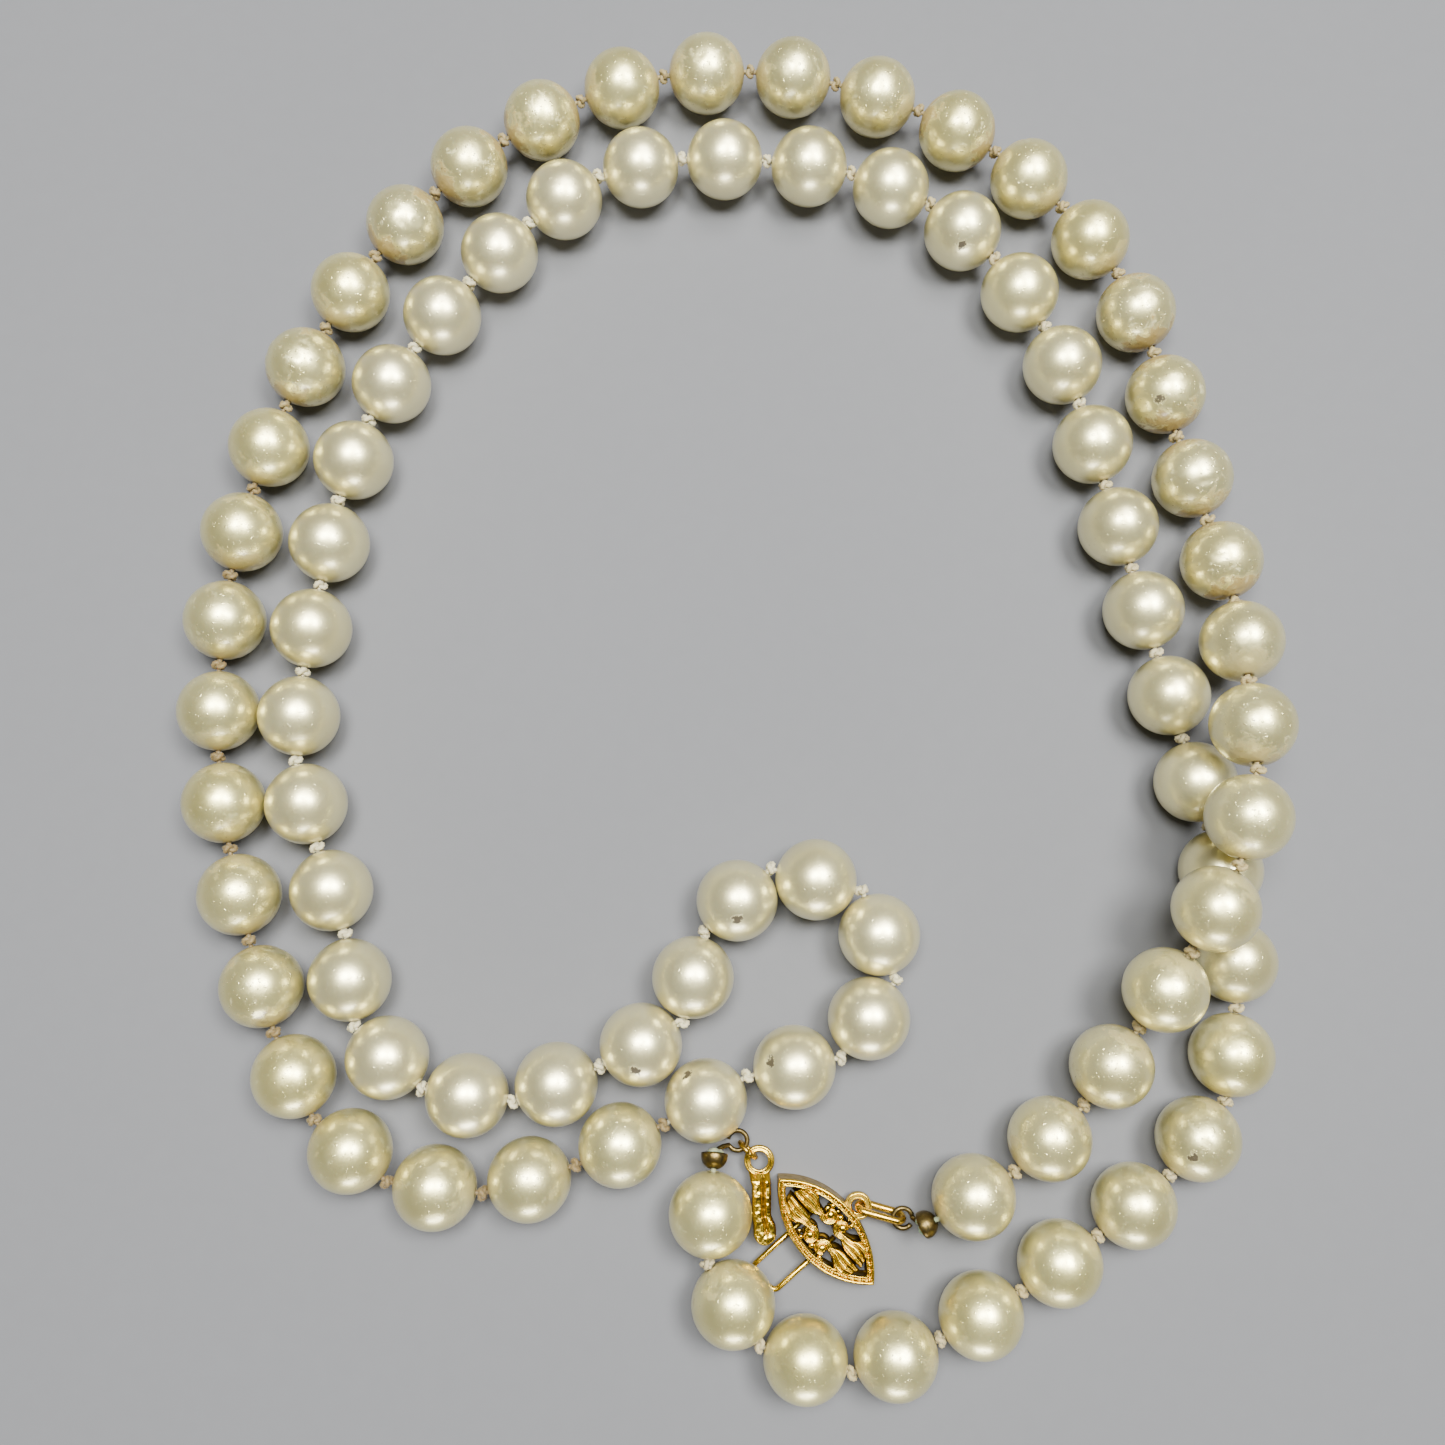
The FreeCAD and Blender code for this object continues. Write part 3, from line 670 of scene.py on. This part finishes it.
def add_rails(shape, side):
    """The polished outer rail, the channel for the beading and the low inner edge."""
    foot = RIM_HEIGHT / 2
    profile = [(0.0, foot), (0.0, foot + 0.22), (0.05, foot + 0.38), (0.14, foot + 0.45), (0.24, foot + 0.43)]
    profile += [(0.31, foot + 0.3), (0.34, foot + 0.16), (0.62, foot + 0.16), (0.66, foot + 0.24)]
    profile += [(0.72, foot + 0.2), (0.74, foot)]
    band(shape, profile, side)
    path = lens_outline(BEADING_INSET)
    travelled = 0.0
    for a, b in zip(path, path[1:] + path[:1]):
        travelled += (b - a).length
        if travelled >= BEADING_SPACING:
            travelled -= BEADING_SPACING
            ball(shape, in_case(b.x, b.y, foot + 0.28, side), BEADING_RADIUS, 8, hollow=0.0)


# A leaf's two edges, then the scroll it winds into, in the quarter of the face where x and y are positive.
INNER_EDGE = [(4.75, 0.1), (3.7, 0.05), (2.7, 0.05), (2.0, 0.2)]
OUTER_EDGE = [(4.35, 1.42), (3.7, 1.78), (2.95, 1.8), (2.25, 1.32)]
BALL_AT = Vector((0.85, 1.36))
BALL_RADIUS = 0.46
SCROLL_START = math.radians(-42)
SCROLL_TURN = math.radians(-288)
SCROLL_RADII = (1.1, 0.4)       # the ribbon's outer and inner edge where the scroll starts
SCROLL_CLOSES = (0.5, 0.02)     # how much each has closed in at its end
FLUTES = 3
SKIRT = 0.15            # the lace reaches this far below its rails, clear of the catch's legs


def leaf_edges():
    """Pairs (inner, outer) of places along a leaf and round its scroll."""
    steps = 34
    pairs = []
    scroll = []
    for i in range(steps + 1):
        share = i / steps
        a = SCROLL_START + SCROLL_TURN * share
        out = Vector((math.cos(a), math.sin(a)))
        scroll.append([BALL_AT + out * (start - closes * share)
                       for start, closes in zip(SCROLL_RADII, SCROLL_CLOSES)])
    inner = smooth_line(INNER_EDGE + [tuple(scroll[i][0]) for i in (1, 5)], 10)
    outer = smooth_line(OUTER_EDGE + [tuple(scroll[i][1]) for i in (1, 5)], 10)
    reach = 10 * len(INNER_EDGE)
    for k in range(reach):
        pairs.append((Vector(inner[k][:2]), Vector(outer[k][:2])))
    return pairs + scroll[2:]


def add_leaf(shape, mirror_x, mirror_y, side, swell):
    """A fluted half leaf that runs from the case's tip towards its middle and winds round a bead."""
    columns = 40
    foot = RIM_HEIGHT / 2
    pairs = leaf_edges()
    rings = []
    hollow = []
    for row, (inner, outer) in enumerate(pairs):
        share = row / (len(pairs) - 1)
        fade = 1 - 0.85 * min(1.0, share * 1.6)
        rise = min(1.0, 0.35 + share * 5)
        ring = []
        for column in range(columns + 1):
            across = column / columns
            flat = inner.lerp(outer, across)
            flute = abs(math.sin(math.pi * FLUTES * across))
            dome = math.sqrt(max(0.0, 1 - (across * 2 - 1) ** 2))
            fluted = 0.04 + 0.32 * flute
            plain = 0.14 * dome
            height = foot + swell * rise * (0.1 + 0.14 * dome + fluted * fade + plain * (1 - fade))
            ring.append(in_case(flat.x * mirror_x, flat.y * mirror_y, height, side))
            # Painted shade in the flute valleys and towards the leaf's two edges.
            hollow.append(max((1 - flute) * 1.5 * fade, (1 - dome) * 0.9))
        for flat in (outer, inner):
            ring.append(in_case(flat.x * mirror_x, flat.y * mirror_y, foot - SKIRT, side))
            # Painted shade, full, on the skirt below the rails.
            hollow.append(1.0)
        rings.append(ring)
    shape.skin(rings, hollow=hollow)
    bead = in_case(BALL_AT.x * mirror_x, BALL_AT.y * mirror_y, foot + 0.2 * swell, side)
    ball(shape, bead, BALL_RADIUS, 18, squash=0.75 * swell, hollow=0.0)


def add_webs(shape, side, swell):
    """Small beads that tie the scrolls to each other and to the rails."""
    foot = RIM_HEIGHT / 2
    places = [(0, 1.9, 0.34), (0, -1.9, 0.34)]
    places += [(1.3 * x, 2.12 * y, 0.26) for x in (1, -1) for y in (1, -1)]
    places += [(3.7 * x, 1.52 * y, 0.24) for x in (1, -1) for y in (1, -1)]
    for x, y, radius in places:
        # Painted shade of 0.25 on each web bead.
        ball(shape, in_case(x, y, foot + 0.1, side), radius, 12, squash=swell, hollow=0.25)


def make_faces(material):
    for node, side, swell in (("filigree_front", 1, 1.0), ("filigree_back", -1, 0.72)):
        shape = Shape()
        add_rails(shape, side)
        for mirror_x in (1, -1):
            for mirror_y in (1, -1):
                add_leaf(shape, mirror_x, mirror_y, side, swell)
        add_webs(shape, side, swell)
        shape.piece(node + "_lace", material, "case", node)


def make_case_trim(material):
    """The raised rims round the lug's hole."""
    shape = Shape()
    lug = in_case(*LUG_OFFSET, 0)
    # Painted shade, slight (0.1), over the lug's rims.
    lathe(shape, ring_profile(0.62, 1.32, 0.3), Matrix.Identity(3), lug, hollow=0.1)
    shape.piece("case_lug_rims", material, "case")


def make_catch(material):
    """The wire catch: a U with rounded corners that slopes down from the case's open side."""
    half = CATCH_SPAN / 2
    out = CATCH_REACH - CASE_WIDTH / 2
    bend = 0.55
    flat = [(-half, CATCH_INSIDE), (-half, -out + bend)]
    flat += [(-half + bend * (1 - math.cos(a)), -out + bend * (1 - math.sin(a)))
             for a in (math.radians(18 * i) for i in range(1, 5))]
    flat.append((-half + bend, -out))
    flat += [(-x, y) for x, y in reversed(flat)]
    path = []
    for x, y in flat:
        path.append(in_case(
            CATCH_OFFSET + x,
            -CASE_WIDTH / 2 + y * math.cos(CATCH_DROP),
            -CATCH_SINK + y * math.sin(CATCH_DROP),
        ))
    shape = Shape()
    # Painted shade, slight (0.1), over the whole catch wire.
    tube(shape, path, CATCH_WIRE, hollow=0.1)
    shape.piece("catch_wire_bent", material, "catch", "catch_wire")


# ---- materials

class Paint:
    """A node material, with short ways to add its nodes."""

    def __init__(self, name):
        self.material = bpy.data.materials.new(name)
        self.material.use_nodes = True
        self.tree = self.material.node_tree
        self.shader = self.tree.nodes["Principled BSDF"]
        place = self.tree.nodes.new("ShaderNodeTexCoord")
        self.place = self.vector_math("SCALE", place.outputs["Object"], scale=1 / MM)

    def plug(self, socket, value):
        if isinstance(value, bpy.types.NodeSocket):
            self.tree.links.new(value, socket)
        else:
            socket.default_value = value

    def set(self, **values):
        """Sockets of the shader: their names with _ for a space."""
        for key, value in values.items():
            self.plug(self.shader.inputs[key.replace("_", " ")], value)

    def vector_math(self, kind, vector, scale=1.0):
        node = self.tree.nodes.new("ShaderNodeVectorMath")
        node.operation = kind
        self.plug(node.inputs[0], vector)
        self.plug(node.inputs["Scale"], scale)
        return node.outputs[0]

    def value(self, name):
        node = self.tree.nodes.new("ShaderNodeAttribute")
        node.attribute_name = name
        return node.outputs["Fac"]

    def noise(self, per_mm, detail=3.0, rough=0.55, warp=0.0):
        node = self.tree.nodes.new("ShaderNodeTexNoise")
        self.plug(node.inputs["Vector"], self.place)
        node.inputs["Scale"].default_value = per_mm
        node.inputs["Detail"].default_value = detail
        node.inputs["Roughness"].default_value = rough
        node.inputs["Distortion"].default_value = warp
        return node.outputs[0]

    def math(self, kind, a, b=0.0, c=0.0, clamp=False):
        node = self.tree.nodes.new("ShaderNodeMath")
        node.operation = kind
        node.use_clamp = clamp
        for socket, value in zip(node.inputs, (a, b, c)):
            self.plug(socket, value)
        return node.outputs[0]

    def spread(self, value, low, high, start=0.0, end=1.0):
        """A smooth step of a value from low to high, onto start to end."""
        node = self.tree.nodes.new("ShaderNodeMapRange")
        node.interpolation_type = "SMOOTHSTEP"
        for key, item in (("Value", value), ("From Min", low), ("From Max", high),
                          ("To Min", start), ("To Max", end)):
            self.plug(node.inputs[key], item)
        return node.outputs[0]

    def mix(self, share, a, b):
        node = self.tree.nodes.new("ShaderNodeMix")
        node.data_type = "RGBA"
        self.plug(node.inputs[0], share)
        self.plug(node.inputs[6], (*a, 1) if isinstance(a, tuple) else a)
        self.plug(node.inputs[7], (*b, 1) if isinstance(b, tuple) else b)
        return node.outputs[2]

    def bump(self, height, strength, distance_mm):
        node = self.tree.nodes.new("ShaderNodeBump")
        node.inputs["Strength"].default_value = strength
        node.inputs["Distance"].default_value = distance_mm * MM
        self.plug(node.inputs["Height"], height)
        self.plug(self.shader.inputs["Normal"], node.outputs[0])


def pearl_marks(paint, wear):
    """The stains at the holes, the rubbed spots, the specks and the pits, each from 0 to 1."""
    patch = paint.noise(0.62, 5.0, 0.6, 0.5)
    scuff = paint.noise(0.8, 4.0, 0.6, 0.4)
    dots = paint.noise(3.4, 2.0, 0.5)
    edge = paint.math("ADD", paint.value("hole"), paint.math("MULTIPLY", patch, -9.0))
    stain = paint.math("MULTIPLY", paint.spread(edge, -1.5, -2.7), wear, clamp=True)
    rub = paint.math("MULTIPLY", paint.spread(scuff, 0.6, 0.7, 0.0, 0.45), wear, clamp=True)
    speck = paint.math("MULTIPLY", paint.spread(dots, 0.68, 0.74), wear, clamp=True)
    ragged = paint.math("MULTIPLY", paint.noise(2.2, 4.0, 0.7), -1.6)
    pit = paint.spread(paint.math("ADD", paint.value("pit"), ragged), -0.22, -0.4)
    return stain, rub, speck, pit


def pearl_colour(paint, stain, rub, speck, pit):
    """The coating's drifting cream, yellower and greyer from pearl to pearl, with its marks on top."""
    yellow, shade = paint.value("yellow"), paint.value("shade")
    cream = paint.mix(yellow, (0.86, 0.79, 0.46), (0.82, 0.745, 0.33))
    deep = paint.mix(yellow, (0.78, 0.70, 0.385), (0.68, 0.60, 0.225))
    body = paint.mix(paint.spread(paint.noise(0.22, 2.0), 0.3, 0.75), cream, deep)
    for mark, strength, colour in (
        (shade, 0.3, (0.60, 0.56, 0.33)),
        (stain, 0.85, (0.24, 0.15, 0.03)),
        (rub, 0.4, (0.90, 0.88, 0.66)),
        (speck, 0.8, (0.07, 0.04, 0.015)),
        (pit, 0.95, (0.022, 0.011, 0.004)),
    ):
        body = paint.mix(paint.math("MULTIPLY", mark, strength), body, colour)
    return body


def pearl_paint():
    """Aged imitation pearl: a satin coating, stained and rubbed round the drill holes."""
    paint = Paint("pearl_coating")
    wear = paint.value("wear")
    stain, rub, speck, pit = pearl_marks(paint, wear)
    fine = paint.noise(5.5, 3.0, 0.6)
    grit = paint.spread(paint.noise(2.4, 1.0), 0.66, 0.74)
    bare = paint.math("MAXIMUM", paint.math("MAXIMUM", stain, pit), paint.math("MAXIMUM", rub, speck))
    lustre = paint.math("MULTIPLY", paint.math("SUBTRACT", 1.0, bare, clamp=True), 0.8)
    satin = paint.math("ADD", paint.spread(fine, 0.3, 0.7, 0.31, 0.37), paint.math("MULTIPLY", bare, 0.2))
    paint.set(Base_Color=pearl_colour(paint, stain, rub, speck, pit), Metallic=lustre, Roughness=satin)
    glaze = paint.math("MULTIPLY", paint.math("SUBTRACT", 1.0, pit, clamp=True), 0.8)
    paint.set(Coat_Weight=glaze, Coat_Roughness=0.2, Coat_IOR=1.6)
    paint.set(Subsurface_Weight=0.15, Subsurface_Radius=(0.0018, 0.0013, 0.0008), Subsurface_Scale=1.0)
    relief = paint.math("MULTIPLY", bare, paint.noise(3.2, 3.0))
    relief = paint.math("ADD", relief, paint.math("MULTIPLY", fine, 0.12))
    relief = paint.math("ADD", relief, paint.math("MULTIPLY", grit, paint.math("ADD", wear, 0.25)))
    paint.bump(paint.math("SUBTRACT", relief, pit), 0.6, 0.06)
    return paint.material


def silk_paint():
    """Twisted silk, from fresh white to handled brown, with a green bloom where it meets brass."""
    paint = Paint("stringing_silk")
    age, green = paint.value("age"), paint.value("green")
    fuzz = paint.noise(9.0, 4.0, 0.7)
    light = paint.mix(paint.spread(age, 0.0, 0.4), (0.60, 0.55, 0.36), (0.36, 0.28, 0.12))
    colour = paint.mix(paint.spread(age, 0.35, 1.0), light, (0.17, 0.115, 0.04))
    colour = paint.mix(paint.math("MULTIPLY", fuzz, 0.35), colour, (0.12, 0.08, 0.03))
    bloom = paint.math("MULTIPLY", green, paint.spread(fuzz, 0.3, 0.6))
    colour = paint.mix(bloom, colour, (0.20, 0.38, 0.27))
    paint.set(Base_Color=colour, Roughness=paint.spread(fuzz, 0.2, 0.8, 0.5, 0.75))
    paint.set(Sheen_Weight=0.15, Sheen_Roughness=0.4, Subsurface_Weight=0.05, Subsurface_Scale=0.001)
    paint.bump(fuzz, 0.5, 0.04)
    return paint.material


def metal_paint(name, bright, dark, tarnish, rough, relief):
    """Plated metal: a bright colour, darkened by painted shade in its recesses and by tarnish in drifting
    patches.
    """
    paint = Paint(name)
    hollow = paint.value("hollow")
    cloud = paint.noise(1.1, 4.0, 0.6, 0.6)
    grain = paint.noise(7.0, 3.0, 0.6)
    patchy = paint.math("MULTIPLY", paint.spread(cloud, 0.42, 0.7), tarnish)
    # Painted shade: the recess value, broken up by grain, darkens the metal towards the dark colour.
    deep = paint.spread(paint.math("ADD", hollow, paint.math("MULTIPLY", grain, 0.3)), 0.5, 1.15)
    # The dark colour is painted shade in recesses and real tarnish in patches; both also raise the roughness.
    shade_and_tarnish = paint.math("MAXIMUM", deep, patchy)
    paint.set(Base_Color=paint.mix(shade_and_tarnish, bright, dark), Metallic=1.0)
    polish = paint.spread(grain, 0.2, 0.8, rough, rough + 0.1)
    paint.set(Roughness=paint.math("ADD", paint.math("MULTIPLY", shade_and_tarnish, 0.28), polish))
    paint.bump(paint.math("ADD", grain, paint.math("MULTIPLY", cloud, 0.6)), relief, 0.03)
    return paint.material


def plain_paint(name, colour):
    paint = Paint(name)
    weave = paint.noise(0.5, 4.0)
    paint.set(Base_Color=paint.mix(weave, colour, tuple(c * 0.94 for c in colour)), Roughness=0.9)
    return paint.material


# ---- stage

def make_stage():
    """A plain pale floor, a hair below the necklace so that the two never share a face."""
    mesh = bpy.data.meshes.new("floor")
    far = 3.0
    drop = -0.00002
    corners = [(x * far, y * far, drop) for x, y in ((-1, -1), (1, -1), (1, 1), (-1, 1))]
    mesh.from_pydata(corners, [], [(0, 1, 2, 3)])
    mesh.materials.append(plain_paint("pale_floor", (0.15, 0.15, 0.158)))
    floor = bpy.data.objects.new("floor", mesh)
    bpy.context.scene.collection.objects.link(floor)


# The lens is a little shorter than the sensor is wide, and the image is 1445 across.
CAMERA_TILT = math.radians(7)
CAMERA_AWAY = 130.0
SENSOR_WIDTH = 36.0
LENS = SENSOR_WIDTH * 1300 / 1445


def make_camera(shift):
    """A camera nearly overhead, leaning towards the near side of the table."""
    target = Vector((shift.x, shift.y, PEARL_RADIUS))
    away = Vector((0, -math.sin(CAMERA_TILT), math.cos(CAMERA_TILT)))
    camera = bpy.data.cameras.new("camera")
    camera.sensor_width = SENSOR_WIDTH
    camera.lens = LENS
    camera.clip_start = 0.01
    item = bpy.data.objects.new("camera", camera)
    item.location = (target + away * CAMERA_AWAY) * MM
    item.rotation_euler = (CAMERA_TILT, 0, 0)
    bpy.context.scene.collection.objects.link(item)
    bpy.context.scene.camera = item


def make_light(name, place, width, height, power, colour=(1, 1, 1)):
    """A soft oval light that faces the necklace."""
    light = bpy.data.lights.new(name, "AREA")
    light.shape = "ELLIPSE"
    light.size = width
    light.size_y = height
    light.energy = power
    light.color = colour
    item = bpy.data.objects.new(name, light)
    item.location = place
    item.rotation_euler = (-Vector(place)).to_track_quat("-Z", "Y").to_euler()
    bpy.context.scene.collection.objects.link(item)


def make_surroundings():
    """A pale wall all round that fades to a dark ceiling."""
    world = bpy.data.worlds.new("studio")
    world.use_nodes = True
    tree = world.node_tree
    place = tree.nodes.new("ShaderNodeTexCoord")
    split = tree.nodes.new("ShaderNodeSeparateXYZ")
    fade = tree.nodes.new("ShaderNodeMapRange")
    fade.interpolation_type = "SMOOTHSTEP"
    for key, value in (("From Min", 0.05), ("From Max", 0.5), ("To Min", 0.28), ("To Max", 0.035)):
        fade.inputs[key].default_value = value
    tree.links.new(place.outputs["Generated"], split.inputs[0])
    tree.links.new(split.outputs["Z"], fade.inputs["Value"])
    background = tree.nodes["Background"]
    background.inputs[0].default_value = (1.0, 0.95, 0.93, 1)
    tree.links.new(fade.outputs[0], background.inputs[1])
    bpy.context.scene.world = world


def make_lights():
    """Two lamps side by side overhead, a low one in front, and an even light on the whole floor."""
    for side in (-1, 1):
        make_light(f"key_{side}", (0.05 + side * 0.09, 0.06, 0.38), 0.14, 0.12, 2.2, (0.98, 1, 0.97))
    make_light("low_front", (0.03, -0.75, 0.12), 0.36, 0.16, 3.0)
    wide = bpy.data.lights.new("wide", "SUN")
    wide.energy = 3.4
    wide.angle = 0.5
    item = bpy.data.objects.new("wide", wide)
    item.rotation_euler = (math.radians(-20), math.radians(12), 0)
    bpy.context.scene.collection.objects.link(item)


random.seed(81)
KNOTS, SHIFT = lay_strand()
CASE_AT = Vector((*CASE_MIDDLE, 0)) + SHIFT
EYE = Vector((*EYE_MIDDLE, LEVEL)) + SHIFT
TO_TIP_B = Vector((*EYE_TO_TIP, 0)).normalized()
LUG = in_case(*LUG_OFFSET, 0)
LOOP_A = LUG + Vector((*LUG_TO_TIP, 0)).normalized() * LINK_LENGTH
LOOP_B = EYE + TO_TIP_B * (EYE_PLAY + JUMP_RING + LOOP_PLAY)

GOLD = metal_paint("yellow_gold", (0.76, 0.50, 0.05), (0.07, 0.037, 0.004), 0.15, 0.16, 0.35)
WORN_GOLD = metal_paint("rubbed_gold", (0.68, 0.42, 0.06), (0.10, 0.05, 0.01), 0.5, 0.2, 0.4)
# A darker copy of the gold for the case's side wall: painted shade.
SHADED_WALL_GOLD = metal_paint("shaded_wall_gold", (0.40, 0.26, 0.035), (0.09, 0.05, 0.006), 0.5, 0.28, 0.35)
BRASS = metal_paint("aged_brass", (0.15, 0.105, 0.036), (0.03, 0.026, 0.012), 0.95, 0.3, 0.6)
SILK = silk_paint()

make_stage()
make_camera(SHIFT)
make_lights()
make_surroundings()
make_pearls(KNOTS, pearl_paint())
make_silk(KNOTS, SILK)
make_bead_tip("a", KNOTS[0], hanging(KNOTS[0] - KNOTS[1]), LOOP_A, BRASS, SILK)
make_bead_tip("b", KNOTS[-1], hanging(KNOTS[-1] - KNOTS[-2]), LOOP_B, BRASS, SILK)
make_link(LUG, LOOP_A, WORN_GOLD)
make_jump_ring(EYE + TO_TIP_B * (EYE_PLAY + JUMP_RING / 2), TO_TIP_B, WORN_GOLD)
make_hook(EYE, GOLD)
make_faces(GOLD)
make_case_trim(GOLD)
make_catch(GOLD)
# The case's side wall is painted in the darker gold as painted shade.
frame["nodes"]["case_rim"].data.materials.clear()
frame["nodes"]["case_rim"].data.materials.append(SHADED_WALL_GOLD)
